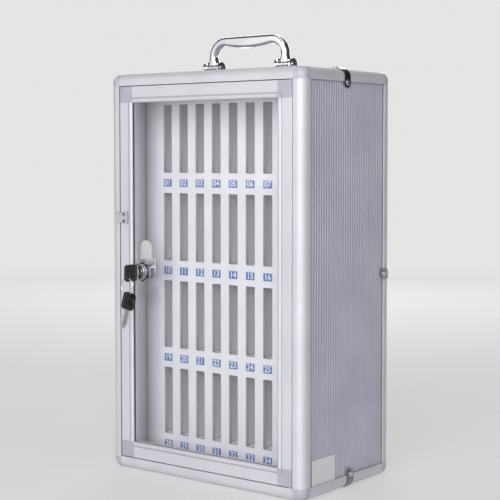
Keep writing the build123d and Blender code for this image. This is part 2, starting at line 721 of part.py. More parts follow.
# The spare key hangs from the ring by its hole and leans to the front.
down_the_key = Vector(DOWN).rotate(Axis.X, -spare_lean)
hang = Plane((lock_x, key_hole_y, spare_hole_z), x_dir=down_the_key, z_dir=RIGHT)
spare_origin = hang.from_local_coords((key_bow_length - key_hole_from_end, key_hole_drop, 0))
key("spare_key_bow", "spare_key_blade", Plane(spare_origin, x_dir=hang.x_dir, z_dir=hang.z_dir))


# ---- Edge clips: stamped straps bent round the profiles, each with a rivet at its rounded ends ----
def edge_clip(corner, along_u, along_v):
    """A strap bent round the edge at corner; its two legs run inward on the two faces."""
    u, v = Vector(along_u), Vector(along_v)
    near, far = edge_clip_clearance, edge_clip_clearance + clip_sheet
    with BuildPart() as strap:
        with BuildSketch(Plane(origin=corner, x_dir=u, z_dir=u.cross(v))) as section:
            with BuildLine():
                Polyline(
                    (-far, -far),
                    (edge_clip_leg, -far),
                    (edge_clip_leg, -near),
                    (-near, -near),
                    (-near, edge_clip_leg),
                    (-far, edge_clip_leg),
                    close=True,
                )
            make_face()
            fillet(section.vertices().sort_by_distance((-near, -near, 0))[0], edge_radius + near)
            fillet(section.vertices().sort_by_distance((-far, -far, 0))[0], edge_radius + far)
        extrude(amount=edge_clip_width / 2, both=True)
        for direction in (u, v):
            tip = strap.faces().sort_by(Axis(corner, direction))[-1]
            short = tip.edges().group_by(SortBy.LENGTH)[0]
            fillet(short, (edge_clip_width - edge_clip_tip) / 2)
    return strap.part


def clip_rivet(corner, inward, outward):
    """A domed rivet at a strap's rounded end; its shank reaches down to the panel."""
    end = Vector(corner) + Vector(inward) * clip_rivet_in
    seat = end + Vector(outward) * (edge_clip_clearance + clip_sheet)
    with BuildPart() as rivet:
        disc(seat, outward, rivet_head / 2, rivet_head_height)
        fillet(rivet.faces().sort_by(Axis(seat, outward))[-1].edges(), rivet_round)
        shank = edge_clip_clearance + clip_sheet + panel_face
        disc(seat, Vector(outward) * -1, clip_rivet_shank / 2, shank)
    return rivet.part


clip_places = []  # corner of the case, then inward on one face and on the other
for side, inward in ((-1, RIGHT), (1, LEFT)):
    clip_places += [
        ((side * half_width, -top_clip_forward, case_height), inward, DOWN),
        ((side * half_width, rear, mid_z + rear_clip_rise), inward, FORTH),
        ((side * half_width, bottom_clip_back, 0), inward, UP),
    ]
straps = [edge_clip(*place) for place in clip_places]
rivets = []
for corner, inward, other in clip_places:
    sideways, away = Vector(inward) * -1, Vector(other) * -1
    rivets.append(clip_rivet(corner, other, sideways))
    if other != UP:
        rivets.append(clip_rivet(corner, inward, away))

with BuildPart() as edge_clips:
    for strap in straps:
        add(strap)
    for rivet in rivets:
        add(rivet, mode=Mode.SUBTRACT)
    # the bottom straps end short of the ground
    low = (-edge_clip_leg, bottom_clip_rise)
    block((-case_width, case_width), (front, rear), low, Mode.SUBTRACT)
keep(edge_clips, "edge_clips")

with BuildPart() as clip_rivets:
    for rivet in rivets:
        add(rivet)
keep(clip_rivets, "clip_rivets")

# ---- Carry handle: a grip with two legs that turn on pins between the ears of two feet ----
half_span = handle_span / 2
leg_middle = half_span - handle_leg / 2
grip_under = handle_top - handle_neck
with BuildPart() as handle:
    with BuildSketch(Plane.XZ) as outline:
        with BuildLine():
            inside = half_span - handle_leg
            wide, slim = handle_pivot + flare_end, handle_pivot + flare_start
            right_leg = [
                (half_span, slim),
                (half_span + handle_flare, wide),
                (half_span + handle_flare, handle_pivot),
                (inside - handle_flare, handle_pivot),
                (inside - handle_flare, wide),
                (inside, slim),
                (inside, grip_under),
            ]
            left_leg = [(-x, z) for x, z in reversed(right_leg)]
            Polyline(*left_leg, (-half_span, handle_top), (half_span, handle_top), *right_leg)
            ThreePointArc((inside, grip_under), (0, handle_top - handle_belly), (-inside, grip_under))
        make_face()
        fillet(outline.vertices().group_by(Axis.Y)[-1], handle_bend)
        under = [corner for corner in outline.vertices() if abs(corner.Y - grip_under) < cut_past]
        fillet(under, handle_bend - handle_leg)
    extrude(amount=handle_thick / 2, both=True)
    for face in (handle.faces().sort_by(Axis.Y)[0], handle.faces().sort_by(Axis.Y)[-1]):
        fillet(face.edges(), handle_edge)
    for side in (-1, 1):
        start = side * leg_middle - knuckle_length / 2
        disc((start, 0, handle_pivot), RIGHT, knuckle_diameter / 2, knuckle_length)
        bore = handle_pin_diameter / 2 + plug_running
        disc((start, 0, handle_pivot), RIGHT, bore, knuckle_length, Mode.SUBTRACT)
keep(handle, "handle_grip")

with BuildPart() as feet:
    for side in (-1, 1):
        x = sorted((side * foot_inner, side * foot_outer))
        block(x, (-foot_depth / 2, foot_depth / 2), (top_surface, top_surface + foot_plate))
        for ear, boss in ((x[0], x[0]), (x[1] - ear_thickness, x[1] - ear_thickness - ear_boss)):
            disc((ear, 0, handle_pivot), RIGHT, ear_radius, ear_thickness)
            block((ear, ear + ear_thickness), (-ear_radius, ear_radius), (top_surface, handle_pivot))
            length = ear_thickness + ear_boss
            disc((boss, 0, handle_pivot), RIGHT, ear_boss_diameter / 2, length)
            disc((boss, 0, handle_pivot), RIGHT, handle_pin_diameter / 2, length, Mode.SUBTRACT)
keep(feet, "handle_feet")

with BuildPart() as handle_pins:
    for side in (-1, 1):
        x = sorted((side * foot_inner, side * foot_outer))
        disc((x[0], 0, handle_pivot), RIGHT, handle_pin_diameter / 2, x[1] - x[0])
        disc((x[0], 0, handle_pivot), LEFT, handle_pin_head / 2, handle_pin_head_height)
        disc((x[1], 0, handle_pivot), RIGHT, handle_pin_head / 2, handle_pin_head_height)
keep(handle_pins, "handle_pins")

with BuildPart() as foot_rivets:
    for side in (-1, 1):
        for y in (-foot_rivet_offset, foot_rivet_offset):
            seat = (side * foot_middle, y, top_surface + foot_plate)
            disc(seat, UP, foot_rivet / 2, foot_rivet_height)
keep(foot_rivets, "foot_rivets")
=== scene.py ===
# %% [markdown]
# # A glazed locker box for phones
#
# The box is a case of aluminium edge profiles with ribbed side sheets, a clear door with a cam lock, and a
# white face with one upright slot for each phone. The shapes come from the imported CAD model, which is a fixed
# frame here. This file gives every piece its finish, adds the small printed things, and sets up the studio.
#
# Lengths are metres in the frame of the CAD model: +X to the right along the front, +Y to the rear, +Z up.

import math

import bpy
from mathutils import Euler, Matrix, Vector


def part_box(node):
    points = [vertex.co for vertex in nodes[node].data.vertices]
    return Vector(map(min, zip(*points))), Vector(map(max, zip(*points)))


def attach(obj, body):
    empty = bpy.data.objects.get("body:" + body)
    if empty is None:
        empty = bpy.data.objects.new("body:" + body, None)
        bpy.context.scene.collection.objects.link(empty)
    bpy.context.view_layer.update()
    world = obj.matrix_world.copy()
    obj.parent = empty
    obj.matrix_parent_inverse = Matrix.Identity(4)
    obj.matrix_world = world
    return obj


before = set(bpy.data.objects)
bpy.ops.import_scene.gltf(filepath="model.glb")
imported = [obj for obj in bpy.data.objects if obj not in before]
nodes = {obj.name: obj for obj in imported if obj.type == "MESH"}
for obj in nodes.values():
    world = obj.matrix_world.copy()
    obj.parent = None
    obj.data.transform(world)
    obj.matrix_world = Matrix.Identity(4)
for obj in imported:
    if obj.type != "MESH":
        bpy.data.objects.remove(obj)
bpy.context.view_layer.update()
MM = 0.001

# %% [markdown]
# ## Building materials from nodes
#
# A material is a small graph. Writing a graph by hand gets long, so a few helpers do the typing: one makes a
# node and sets its inputs, one starts a node group, and one places a group in a material. A group is a
# reusable piece of graph with its own named sockets, so an effect such as edge wear is built once and then
# placed in every material that needs it, each time with its own values.

# %% Helpers for node graphs
FLOAT, COLOUR, VECTOR = "NodeSocketFloat", "NodeSocketColor", "NodeSocketVector"


def add_node(tree, kind, inputs=None, **settings):
    """A node of that kind; inputs are numbers, colours or the sockets of other nodes."""
    made = tree.nodes.new(kind)
    for name, value in settings.items():
        setattr(made, name, value)
    for name, value in (inputs or {}).items():
        if isinstance(value, bpy.types.NodeSocket):
            tree.links.new(value, made.inputs[name])
        else:
            made.inputs[name].default_value = value
    return made


def new_group(name, inputs, outputs):
    """A shader node group with named sockets, given as {name: (type, default)} and {name: type}."""
    group = bpy.data.node_groups.new(name, "ShaderNodeTree")
    for socket, (kind, default) in inputs.items():
        made = group.interface.new_socket(name=socket, in_out="INPUT", socket_type=kind)
        made.default_value = default
    for socket, kind in outputs.items():
        group.interface.new_socket(name=socket, in_out="OUTPUT", socket_type=kind)
    return group, group.nodes.new("NodeGroupInput"), group.nodes.new("NodeGroupOutput")


def place(tree, group, **inputs):
    """Put a node group in a material; underscores in the names stand for spaces."""
    spaced = {name.replace("_", " "): value for name, value in inputs.items()}
    return add_node(tree, "ShaderNodeGroup", spaced, node_tree=group)


print("socket types", FLOAT, COLOUR, VECTOR)

# %% [markdown]
# The finishes below are put together from the same few steps: start from a Principled shader, multiply the
# colour by shades, painted shade among them, brighten edges for wear (on the key bows also as a painted
# highlight), and vary roughness and relief by a mask from 0 to 1. Each step is one short function, so that a
# finish reads as a list of what it is.

# %% Helpers for finishes


def new_material(name):
    """A material with only a Principled shader in it."""
    made = bpy.data.materials.new(name)
    made.use_nodes = True
    tree = made.node_tree
    return made, tree, tree.nodes["Principled BSDF"]


def times(tree, colour, shade, factor=1.0):
    """A colour multiplied by a shade from 0 to 1."""
    inputs = {"Factor": factor, "A": colour, "B": shade}
    mixed = add_node(tree, "ShaderNodeMix", inputs, data_type="RGBA", blend_type="MULTIPLY")
    return mixed.outputs["Result"]


def edge_wear_and_sheen(tree, colour, wear_and_sheen, amount, bright):
    """A colour that turns towards a bright one along edges: wear, and on the key bows a painted highlight."""
    share = add_node(tree, "ShaderNodeMath", {0: wear_and_sheen, 1: amount}, operation="MULTIPLY")
    inputs = {"Factor": share.outputs[0], "A": colour, "B": (*bright, 1.0)}
    mixed = add_node(tree, "ShaderNodeMix", inputs, data_type="RGBA", blend_type="SCREEN")
    return mixed.outputs["Result"]


def set_roughness(tree, shader, mask, limits):
    """Roughness that runs between two limits as the mask runs from 0 to 1."""
    inputs = {"Value": mask, "To Min": limits[0], "To Max": limits[1]}
    mapped = add_node(tree, "ShaderNodeMapRange", inputs)
    tree.links.new(mapped.outputs["Result"], shader.inputs["Roughness"])


def set_relief(tree, shader, height, edges, strength, distance):
    """Fine relief for a shader, on top of its soft edges."""
    inputs = {"Height": height, "Normal": edges.outputs["Normal"], "Strength": strength, "Distance": distance}
    bump = add_node(tree, "ShaderNodeBump", inputs)
    tree.links.new(bump.outputs["Normal"], shader.inputs["Normal"])


print("helpers", [helper.__name__ for helper in (new_material, times, edge_wear_and_sheen, set_roughness, set_relief)])

# %% [markdown]
# ## Effects that many finishes share
#
# *Soft edges.* Real metal and plastic edges are never knife sharp. A Bevel node rounds the shading of an edge
# without changing the mesh, and comparing its normal with the true one tells where the edges are. That mask is
# the wear: edges of a box that is carried about are rubbed bright. On the key bows the same mask also carries a
# painted highlight along the rims.

# %% Group: soft edges and edge wear
soft_edges, given, result = new_group(
    "soft_edges",
    {"Radius": (FLOAT, 0.4 * MM), "Gain": (FLOAT, 3.0)},
    {"Normal": VECTOR, "Wear": FLOAT},
)
bevel = add_node(soft_edges, "ShaderNodeBevel", {"Radius": given.outputs["Radius"]}, samples=6)
geometry = add_node(soft_edges, "ShaderNodeNewGeometry")
facing = add_node(
    soft_edges,
    "ShaderNodeVectorMath",
    {0: bevel.outputs["Normal"], 1: geometry.outputs["True Normal"]},
    operation="DOT_PRODUCT",
)
bent = add_node(soft_edges, "ShaderNodeMath", {0: 1.0, 1: facing.outputs["Value"]}, operation="SUBTRACT")
wear_gain = add_node(
    soft_edges,
    "ShaderNodeMath",
    {0: bent.outputs[0], 1: given.outputs["Gain"]},
    operation="MULTIPLY",
    use_clamp=True,
)
soft_edges.links.new(bevel.outputs["Normal"], result.inputs["Normal"])
soft_edges.links.new(wear_gain.outputs[0], result.inputs["Wear"])
print("group", soft_edges.name)

# %% [markdown]
# *Crevices.* Seams, the valleys between ribs and inner corners get less light. An Ambient Occlusion node
# measures how closed in a point is; the group turns that into a painted shade to multiply with the colour.
# Reach is how far it looks, and Depth is how dark the deepest corner gets.

# %% Group: painted shade in crevices
CLOSED, OPEN = 0.25, 0.95  # occlusion values that count as fully closed in and as fully open

crevice_painted_shade, given, result = new_group(
    "crevice_painted_shade",
    {"Reach": (FLOAT, 2.5 * MM), "Depth": (FLOAT, 0.5)},
    {"Shade": FLOAT},
)
closeness = add_node(
    crevice_painted_shade, "ShaderNodeAmbientOcclusion", {"Distance": given.outputs["Reach"]}, samples=8
)
darkest = add_node(crevice_painted_shade, "ShaderNodeMath", {0: 1.0, 1: given.outputs["Depth"]}, operation="SUBTRACT")
shade = add_node(
    crevice_painted_shade,
    "ShaderNodeMapRange",
    {"Value": closeness.outputs["AO"], "From Min": CLOSED, "From Max": OPEN, "To Min": darkest.outputs[0]},
)
crevice_painted_shade.links.new(shade.outputs["Result"], result.inputs["Shade"])
print("group", crevice_painted_shade.name)

# %% [markdown]
# *Grain.* Extruded and rolled aluminium carries fine lines along its length. Noise that is squeezed in two
# directions and left long in the third gives such lines. The stretch vector says how dense the noise is along
# X, Y and Z, in cycles per metre, so one group serves profiles that run in any direction.

# %% Group: stretched grain
grain, given, result = new_group(
    "grain",
    {"Stretch": (VECTOR, (900.0, 900.0, 12.0)), "Low": (FLOAT, 0.35), "High": (FLOAT, 0.65)},
    {"Value": FLOAT},
)
where = add_node(grain, "ShaderNodeTexCoord")
squeezed = add_node(
    grain,
    "ShaderNodeVectorMath",
    {0: where.outputs["Object"], 1: given.outputs["Stretch"]},
    operation="MULTIPLY",
)
lines = add_node(grain, "ShaderNodeTexNoise", {"Vector": squeezed.outputs[0], "Scale": 1.0, "Detail": 3.0})
spread = add_node(
    grain,
    "ShaderNodeMapRange",
    {"Value": lines.outputs["Fac"], "From Min": given.outputs["Low"], "From Max": given.outputs["High"]},
)
grain.links.new(spread.outputs["Result"], result.inputs["Value"])
print("group", grain.name)

# %% [markdown]
# *Mottle.* No surface has one flat colour. A slow noise mixes two close colours, and it also says where a
# surface is a little duller, as after handling and wiping.

# %% Group: mottled colour
CLOUD_LOW, CLOUD_HIGH = 0.36, 0.64  # the part of the noise that is spread over the two colours

mottle, given, result = new_group(
    "mottle",
    {
        "Light": (COLOUR, (0.8, 0.8, 0.8, 1.0)),
        "Dark": (COLOUR, (0.7, 0.7, 0.7, 1.0)),
        "Scale": (FLOAT, 14.0),
    },
    {"Color": COLOUR, "Value": FLOAT},
)
where = add_node(mottle, "ShaderNodeTexCoord")
clouds = add_node(
    mottle,
    "ShaderNodeTexNoise",
    {"Vector": where.outputs["Object"], "Scale": given.outputs["Scale"], "Detail": 5.0, "Roughness": 0.6},
)
steps = add_node(
    mottle,
    "ShaderNodeMapRange",
    {"Value": clouds.outputs["Fac"], "From Min": CLOUD_LOW, "From Max": CLOUD_HIGH},
)
blend = add_node(
    mottle,
    "ShaderNodeMix",
    {"Factor": steps.outputs["Result"], "A": given.outputs["Dark"], "B": given.outputs["Light"]},
    data_type="RGBA",
)
mottle.links.new(blend.outputs["Result"], result.inputs["Color"])
mottle.links.new(steps.outputs["Result"], result.inputs["Value"])
print("group", mottle.name)

# %% [markdown]
# *Pores.* Moulded plastic and board have a fine random texture that is too small to see as shapes but that
# breaks up the highlight. Only its height is needed, for a Bump node.

# %% Group: fine pores
pores, given, result = new_group("pores", {"Scale": (FLOAT, 1800.0)}, {"Height": FLOAT})
where = add_node(pores, "ShaderNodeTexCoord")
cells = add_node(
    pores,
    "ShaderNodeTexNoise",
    {"Vector": where.outputs["Object"], "Scale": given.outputs["Scale"], "Detail": 2.0},
)
pores.links.new(cells.outputs["Fac"], result.inputs["Height"])
print("group", pores.name)

# %% [markdown]
# ## Aluminium
#
# The profiles are extruded and satin anodised: a pale grey that is more a soft white than a mirror, with fine
# lines along the length and brighter edges. One function makes the finish, and the direction of the lines is
# its argument, because a profile along X has its grain along X. The side sheets are a shade darker, and the
# valleys between their ribs get more painted shade than the seams between profiles.

# %% Satin aluminium
GRAIN_ACROSS, GRAIN_ALONG = 1500.0, 9.0  # lines per metre across a profile and along it
SATIN = (0.56, 0.68)  # roughness between and on the lines
SATIN_METALLIC = 0.5  # the anodised layer scatters about half of the light, as paint does
LINE_SHADE = 0.05  # how much darker the lines are
LINE_STRENGTH, LINE_HEIGHT = 0.08, 0.05 * MM
ALUMINIUM_WEAR, BARE_ALUMINIUM = 0.10, (0.9, 0.9, 0.92)


def stretch_along(axis):
    """Noise density for grain that runs along one axis."""
    return tuple(GRAIN_ALONG if axis == letter else GRAIN_ACROSS for letter in "xyz")


def satin_aluminium(name, axis, light, dark, depth):
    """Anodised aluminium: grain along an axis, two colours, and painted shade in seams to a depth."""
    made, tree, shader = new_material(name)
    edges = place(tree, soft_edges)
    streaks = place(tree, grain, Stretch=stretch_along(axis)).outputs["Value"]
    tint = place(tree, mottle, Light=(*light, 1.0), Dark=(*dark, 1.0))
    seams = place(tree, crevice_painted_shade, Depth=depth)
    lined = times(tree, tint.outputs["Color"], streaks, LINE_SHADE)
    worn = edge_wear_and_sheen(tree, lined, edges.outputs["Wear"], ALUMINIUM_WEAR, BARE_ALUMINIUM)
    tree.links.new(times(tree, worn, seams.outputs["Shade"]), shader.inputs["Base Color"])
    set_roughness(tree, shader, streaks, SATIN)
    set_relief(tree, shader, streaks, edges, LINE_STRENGTH, LINE_HEIGHT)
    shader.inputs["Metallic"].default_value = SATIN_METALLIC
    return made


# Light, dark, and the depth of the painted shade in the seams and between the ribs.
PROFILE = ((0.80, 0.795, 0.85), (0.75, 0.745, 0.80), 0.35)  # light, dark and depth of the seams
SKIN = ((0.63, 0.62, 0.72), (0.57, 0.56, 0.66), 0.6)
aluminium = {axis: satin_aluminium("satin_aluminium_" + axis, axis, *PROFILE) for axis in "xyz"}
ribbed = {axis: satin_aluminium("ribbed_skin_" + axis, axis, *SKIN) for axis in "xz"}
plain_skin = satin_aluminium("plain_skin", "z", *SKIN)
print("aluminium", [made.name for made in (*aluminium.values(), *ribbed.values(), plain_skin)])

# %% [markdown]
# ## Chrome, plated steel and turned steel
#
# The handle, the wire ring and the plug of the lock are chrome. Plating is a mirror, so nearly all that it
# shows is its surroundings; very small changes of roughness and a faint waviness keep it from looking computed.
# In a pale studio a clean mirror turns white and loses its shape, so the housing and nut of the lock, which are
# chrome too, are painted darker, and the edge clips darker still: a painted dark reflection. Keys, pins and the
# cam are duller steel with more grain.

# %% Plated and plain metals
PLATED_EDGE, WAVE_HEIGHT = 0.25 * MM, 0.2 * MM


def plated(name, light, dark, roughness, waviness=0.03, scale=60.0):
    """A fully metallic finish; light and dark are its two colours, roughness its two limits."""
    made, tree, shader = new_material(name)
    edges = place(tree, soft_edges, Radius=PLATED_EDGE)
    tint = place(tree, mottle, Light=(*light, 1.0), Dark=(*dark, 1.0), Scale=scale)
    tree.links.new(tint.outputs["Color"], shader.inputs["Base Color"])
    set_roughness(tree, shader, tint.outputs["Value"], roughness)
    set_relief(tree, shader, tint.outputs["Value"], edges, waviness, WAVE_HEIGHT)
    shader.inputs["Metallic"].default_value = 1.0
    return made


chrome = plated("chrome_plate", (0.80, 0.80, 0.815), (0.74, 0.74, 0.76), (0.05, 0.11))
# Chrome painted darker for the lock and darker still for the clips: a painted dark reflection.
lock_chrome_painted_dark = plated("lock_chrome_painted_dark", (0.42, 0.42, 0.44), (0.31, 0.31, 0.33), (0.05, 0.12))
clip_chrome_painted_dark = plated("clip_chrome_painted_dark", (0.30, 0.30, 0.32), (0.20, 0.20, 0.22), (0.05, 0.14))
zinc = plated("zinc_plated_cam", (0.88, 0.88, 0.87), (0.80, 0.80, 0.80), (0.34, 0.46), 0.1, 220.0)
steel = plated("turned_steel", (0.62, 0.62, 0.64), (0.50, 0.50, 0.53), (0.22, 0.36), 0.08, 400.0)
blackened = plated("blackened_rivet", (0.24, 0.24, 0.26), (0.16, 0.16, 0.18), (0.20, 0.32), 0.05, 400.0)
key_steel = plated("nickel_key_steel", (0.60, 0.59, 0.57), (0.48, 0.47, 0.46), (0.24, 0.38), 0.1, 350.0)
metals = (chrome, lock_chrome_painted_dark, clip_chrome_painted_dark, zinc, steel, blackened, key_steel)
print("metals", [made.name for made in metals])

# %% [markdown]
# ## Plastic, board and rubber
#
# These are not metallic: a coloured body under a thin gloss. One function makes them all, from two close
# colours, fine pores and paler edges. It can paint shade into a piece's colour several times over: once finely,
# in the joints, and once widely, toward the corners of the case, where little light gets.

# %% Moulded and sheet materials
PORE_HEIGHT = 0.08 * MM
PALE_EDGE = (0.8, 0.8, 0.82)
SEAM_PAINTED_SHADE = ((2.5 * MM, 0.5),)  # reach and depth of each shade


def moulded(
    name,
    light,
    dark,
    roughness,
    pore_scale=1800.0,
    relief=0.12,
    wear_and_sheen=0.08,
    shades=SEAM_PAINTED_SHADE,
    edge=0.3 * MM,
    mottle_scale=30.0,
):
    """Plastic, board or rubber: two close colours, roughness, fine pores, paler edges and painted shade."""
    made, tree, shader = new_material(name)
    edges = place(tree, soft_edges, Radius=edge)
    tint = place(tree, mottle, Light=(*light, 1.0), Dark=(*dark, 1.0), Scale=mottle_scale)
    colour = edge_wear_and_sheen(tree, tint.outputs["Color"], edges.outputs["Wear"], wear_and_sheen, PALE_EDGE)
    for reach, depth in shades:
        colour = times(tree, colour, place(tree, crevice_painted_shade, Reach=reach, Depth=depth).outputs["Shade"])
    tree.links.new(colour, shader.inputs["Base Color"])
    set_roughness(tree, shader, tint.outputs["Value"], roughness)
    grainy = place(tree, pores, Scale=pore_scale)
    set_relief(tree, shader, grainy.outputs["Height"], edges, relief, PORE_HEIGHT)
    return made


print("shades of seams", SEAM_PAINTED_SHADE)

# %% [markdown]
# The case's corner caps are grey plastic with a faint violet cast and a speckle of light and dark, which is a
# mottle on a very small scale. The door's corner pieces are plainer.

# %% Corner plastics
corner_plastic = moulded(
    "corner_plastic",
    (0.71, 0.705, 0.78),
    (0.40, 0.40, 0.465),
    (0.28, 0.42),
    pore_scale=900.0,
    relief=0.4,
    wear_and_sheen=0.25,
    mottle_scale=600.0,
)
door_corner_plastic = moulded(
    "door_corner_plastic",
    (0.53, 0.51, 0.60),
    (0.49, 0.47, 0.56),
    (0.34, 0.44),
    pore_scale=1500.0,
    wear_and_sheen=0.2,
)
print("corner plastics", [made.name for made in (corner_plastic, door_corner_plastic)])

# %% [markdown]
# The inside is lined with white board, whose colour carries painted shade: widely toward the corners of the
# case, and finely in the joints. The side walls get more painted shade than the floor, the ceiling and the slot
# face. The pockets behind the slots are deep and narrow, so light is short there already: their board is
# painted paler, as painted light, and has the fine painted shade only. Labels, print and paper are thin and
# flat.

# %% Boards, labels and paper
# Reach and depth of the painted shade in each board.
BOARD_PAINTED_SHADE = ((25 * MM, 0.75), (1.8 * MM, 0.7))  # wide in the corners of the case, and fine in the joints
WALL_PAINTED_SHADE = ((30 * MM, 0.85), (1.8 * MM, 0.8))
BOARD_COLOURS = ((0.925, 0.91, 0.97), (0.885, 0.87, 0.93))
# Paler than the board: painted light in the pockets.
POCKET_COLOURS_PAINTED_LIGHT = ((0.985, 0.975, 0.995), (0.965, 0.955, 0.98))
BOARD_SURFACE = ((0.42, 0.55), 1200.0, 0.06)  # roughness, pores per metre, relief

white_board = moulded("white_board", *BOARD_COLOURS, *BOARD_SURFACE, shades=BOARD_PAINTED_SHADE)
shaded_wall_board = moulded("shaded_wall_board", *BOARD_COLOURS, *BOARD_SURFACE, shades=WALL_PAINTED_SHADE)
pocket_board_painted_light = moulded("pocket_board_painted_light", *POCKET_COLOURS_PAINTED_LIGHT, *BOARD_SURFACE)
label_blue = moulded("label_blue", (0.065, 0.18, 0.54), (0.05, 0.15, 0.47), (0.30, 0.40), 2400.0, 0.05)
print_white = moulded("print_white", (0.93, 0.93, 0.95), (0.90, 0.90, 0.92), (0.40, 0.50), 2400.0, 0.03)
paper_white = moulded("paper_white", (0.93, 0.93, 0.94), (0.88, 0.88, 0.90), (0.50, 0.62), 1500.0, 0.15)
sheets = (white_board, shaded_wall_board, pocket_board_painted_light, label_blue, print_white, paper_white)
print("boards and papers", [made.name for made in sheets])

# %% [markdown]
# The keys have black moulded bows whose edges are paler, partly rubbed by years in a pocket and partly a
# painted highlight along the rims, so this is strong and wide, and their gloss is kept low. The pull clip is
# grey plastic. The door closes on black rubber, the acrylic sits in a strip of grey rubber that also stands in
# for the shadow line along the bead, and the hinge runs on a nylon washer.

# %% Key plastic, clip plastic, rubbers and nylon
# The pale rims of the bows are partly wear and partly a painted highlight.
key_plastic = moulded(
    "key_plastic",
    (0.016, 0.016, 0.019),
    (0.010, 0.010, 0.013),
    (0.24, 0.36),
    pore_scale=1300.0,
    relief=0.2,
    wear_and_sheen=0.35,
    edge=0.7 * MM,
)
key_plastic.node_tree.nodes["Principled BSDF"].inputs["Specular IOR Level"].default_value = 0.3
clip_plastic = moulded("clip_plastic", (0.60, 0.585, 0.66), (0.54, 0.53, 0.60), (0.26, 0.38), 1500.0, 0.1)
seal_rubber = moulded("seal_rubber", (0.10, 0.10, 0.11), (0.07, 0.07, 0.08), (0.55, 0.70), 900.0, 0.25, 0.03)
# Grey rubber for the glazing strip, which also stands in for the shadow line along the bead.
glazing_rubber_shadow_line = moulded(
    "glazing_rubber_shadow_line", (0.27, 0.27, 0.29), (0.22, 0.22, 0.24), (0.5, 0.65), 900.0, 0.2, 0.03
)
nylon = moulded("nylon", (0.80, 0.79, 0.75), (0.74, 0.73, 0.69), (0.35, 0.45))
small_parts = (key_plastic, clip_plastic, seal_rubber, glazing_rubber_shadow_line, nylon)
print("plastics and rubbers", [made.name for made in small_parts])

# %% [markdown]
# ## Clear acrylic
#
# The door's sheet lets nearly all light through and shows a weak reflection. Cycles treats light that
# passes glass as a caustic, which leaves the inside of the box dark, so shadow rays and soft bounced light
# go straight through instead: the Light Path node picks a Transparent shader for them.

# %% Clear acrylic
ACRYLIC_IOR = 1.49
ACRYLIC_TINT = (0.985, 0.99, 0.995)
WIPED_SHADE, WIPED_SCALE = 0.985, 9.0  # faint marks of wiping: how much darker, and how many per metre


def clear_sheet(name, tint, roughness):
    """A clear sheet for the camera and for reflections, and plain transparency for light on its way."""
    made, tree, shader = new_material(name)
    dull = (*(WIPED_SHADE * channel for channel in tint), 1.0)
    wiped = place(tree, mottle, Light=(*tint, 1.0), Dark=dull, Scale=WIPED_SCALE)
    tree.links.new(wiped.outputs["Color"], shader.inputs["Base Color"])
    set_roughness(tree, shader, wiped.outputs["Value"], roughness)
    shader.inputs["Transmission Weight"].default_value = 1.0
    shader.inputs["IOR"].default_value = ACRYLIC_IOR
    ray = add_node(tree, "ShaderNodeLightPath")
    passing = add_node(
        tree,
        "ShaderNodeMath",
        {0: ray.outputs["Is Shadow Ray"], 1: ray.outputs["Is Diffuse Ray"]},
        operation="MAXIMUM",
    )
    open_way = add_node(tree, "ShaderNodeBsdfTransparent", {"Color": (*tint, 1.0)})
    choice = add_node(
        tree,
        "ShaderNodeMixShader",
        {0: passing.outputs[0], 1: shader.outputs["BSDF"], 2: open_way.outputs["BSDF"]},
    )
    tree.links.new(choice.outputs["Shader"], tree.nodes["Material Output"].inputs["Surface"])
    return made


acrylic = clear_sheet("clear_acrylic", ACRYLIC_TINT, (0.0, 0.015))
print("clear", acrylic.name)

# %% [markdown]
# ## Dressing the CAD nodes
#
# Every node of the frame keeps its mesh and gets a finish. The table below goes finish by finish. Profiles
# are sorted by the direction they run in.

# %% Give each node its finish
finishes = {
    aluminium["x"]: "front_top_profile front_bottom_profile rear_top_profile rear_bottom_profile "
    "door_top_rail door_bottom_rail",
    aluminium["y"]: "top_left_profile top_right_profile bottom_left_profile bottom_right_profile",
    aluminium["z"]: "front_left_profile front_right_profile rear_left_profile rear_right_profile "
    "door_left_stile door_right_stile",
    ribbed["z"]: "left_panel right_panel",
    ribbed["x"]: "top_panel",
    plain_skin: "back_panel bottom_panel",
    corner_plastic: "front_corner_caps rear_corner_caps",
    door_corner_plastic: "door_corner_top_left door_corner_top_right door_corner_bottom_left "
    "door_corner_bottom_right",
    white_board: "floor_liner ceiling_liner slot_face",
    shaded_wall_board: "left_liner right_liner",
    pocket_board_painted_light: "back_liner pocket_dividers pocket_shelves",
    label_blue: "number_labels",
    acrylic: "door_acrylic",
    seal_rubber: "door_gasket door_stops",
    glazing_rubber_shadow_line: "glazing_seal",
    clip_plastic: "pull_clip",
    chrome: "lock_plug handle_grip handle_feet key_ring",
    lock_chrome_painted_dark: "lock_housing lock_nut",
    clip_chrome_painted_dark: "edge_clips",
    zinc: "lock_cam",
    steel: "pivot_pins handle_pins foot_rivets clip_rivets cam_screw",
    blackened: "pull_clip_rivets",
    key_steel: "key_blade spare_key_blade",
    key_plastic: "key_bow spare_key_bow",
    nylon: "hinge_washer",
}


def dress(node, finish):
    """Replace a node's material with a finish."""
    mesh = nodes[node].data
    mesh.materials.clear()
    mesh.materials.append(finish)


dressed = {node: finish for finish, names in finishes.items() for node in names.split()}
for node, finish in dressed.items():
    dress(node, finish)
print("dressed", len(dressed), "left bare", sorted(set(nodes) - set(dressed)))

# %% [markdown]
# ## Numbers on the labels
#
# Each slot has a number, counted in reading order from the top left. The digits are Blender's own plain
# letters, turned into a mesh, so they are real shapes a hair's breadth in front of the blue labels. All
# numbers are joined in one piece, because they are one print.

# %% Where the labels are
COLUMNS, ROWS = 9, 4
LABEL_WIDTH, LABEL_HEIGHT = 12.8 * MM, 9.3 * MM

